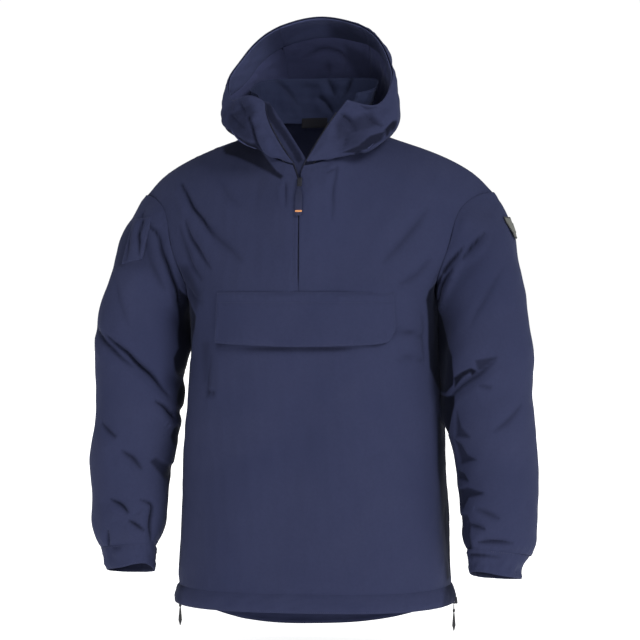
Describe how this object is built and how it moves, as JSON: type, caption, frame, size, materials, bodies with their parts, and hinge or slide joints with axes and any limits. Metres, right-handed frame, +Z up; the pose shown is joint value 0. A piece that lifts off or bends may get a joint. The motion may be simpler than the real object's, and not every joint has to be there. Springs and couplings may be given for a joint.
{
  "type": "hooded half-zip anorak pullover",
  "caption": "Hollow hooded pullover anorak as worn, with a half-length front zip, a wide chest pocket flap, side hem zips and a lined hood rolled back behind an open neck.",
  "frame": {"origin": "midway between the shoulders, level with the middle of the shoulder seams, where the wearer's shoulders hold the garment", "axes": "+Z up; the front faces -Y; the wearer's left side is +X"},
  "size_m": [0.7372, 0.3072, 1.0141],
  "materials": {
    "shell_cloth": "matte tightly woven navy shell cloth",
    "lining_cloth": "matte thin navy lining cloth",
    "zip_tape": "dark navy coated zip tape",
    "slider_metal": "dark lacquered zip slider",
    "puller_plastic": "dark moulded zip puller",
    "badge_rubber": "bare grey rubber patch",
    "label_cloth": "bare dark woven label"
  },
  "bodies": {
    "garment": {"front": "shell_cloth", "back": "shell_cloth", "hem_front": "shell_cloth", "hem_back": "shell_cloth", "sleeve_left": "shell_cloth", "sleeve_right": "shell_cloth", "cuff_left": "shell_cloth", "cuff_right": "shell_cloth", "hood_left": "shell_cloth", "hood_centre": "shell_cloth", "hood_right": "shell_cloth", "hood_facing": "shell_cloth", "hood_lining": "lining_cloth", "collar": "shell_cloth", "zip_guard": "shell_cloth", "zip_tape_left": "zip_tape", "zip_tape_right": "zip_tape", "pocket_flap": "shell_cloth", "sleeve_pocket": "shell_cloth", "arm_badge": "badge_rubber", "neck_label": "label_cloth", "side_zip_left": "zip_tape", "side_zip_right": "zip_tape", "side_slider_left": "slider_metal", "side_slider_right": "slider_metal", "zip_slider": "slider_metal"},
    "front_pull": {"zip_puller": "puller_plastic"},
    "left_pull": {"side_pull_left": "puller_plastic"},
    "right_pull": {"side_pull_right": "puller_plastic"}
  },
  "joints": [
    {"name": "front_pull_swing", "type": "hinge", "parent": "garment", "child": "front_pull", "pos_m": [0, -0.1401, -0.0668], "axis": [-1, 0, 0], "range_deg": [0, 160]},
    {"name": "left_pull_swing", "type": "hinge", "parent": "garment", "child": "left_pull", "pos_m": [0.2272, 0.012, -0.7377], "axis": [0, -1, 0], "range_deg": [-45, 80]},
    {"name": "right_pull_swing", "type": "hinge", "parent": "garment", "child": "right_pull", "pos_m": [-0.2272, 0.012, -0.7377], "axis": [0, 1, 0], "range_deg": [-45, 80]}
  ]
}
